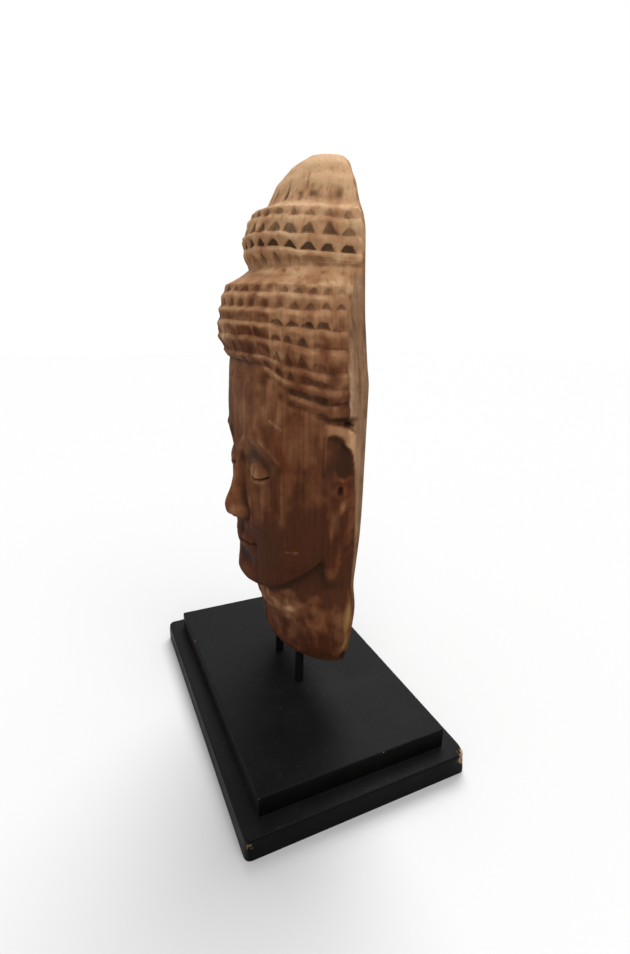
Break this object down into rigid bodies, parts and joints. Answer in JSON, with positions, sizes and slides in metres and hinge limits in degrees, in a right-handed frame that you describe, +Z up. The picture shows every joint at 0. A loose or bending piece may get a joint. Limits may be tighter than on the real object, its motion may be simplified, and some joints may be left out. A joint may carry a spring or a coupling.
{
  "type": "carved wooden head on a plinth",
  "caption": "Carved wooden Buddha head in half relief with a flat back and rows of pointed curls, held on thin rods over a stepped black plinth.",
  "frame": {"origin": "middle of the plinth's underside", "axes": "+Z up, the face looks towards -Y, +X towards the figure's left ear, the flat sawn back faces +Y"},
  "size_m": [0.3, 0.2, 0.494],
  "materials": {
    "weathered_wood": "bare, hand-carved, worn and dark in the cuts, lighter at the crown and on the bare sides",
    "black_painted_wood": "satin black paint, worn through at a few corners and edges",
    "black_painted_steel": "satin black paint"
  },
  "bodies": {
    "root": {"carved_head": "weathered_wood", "plinth_upper_board": "black_painted_wood", "plinth_lower_board": "black_painted_wood", "rod_left": "black_painted_steel", "rod_right": "black_painted_steel"}
  },
  "joints": []
}
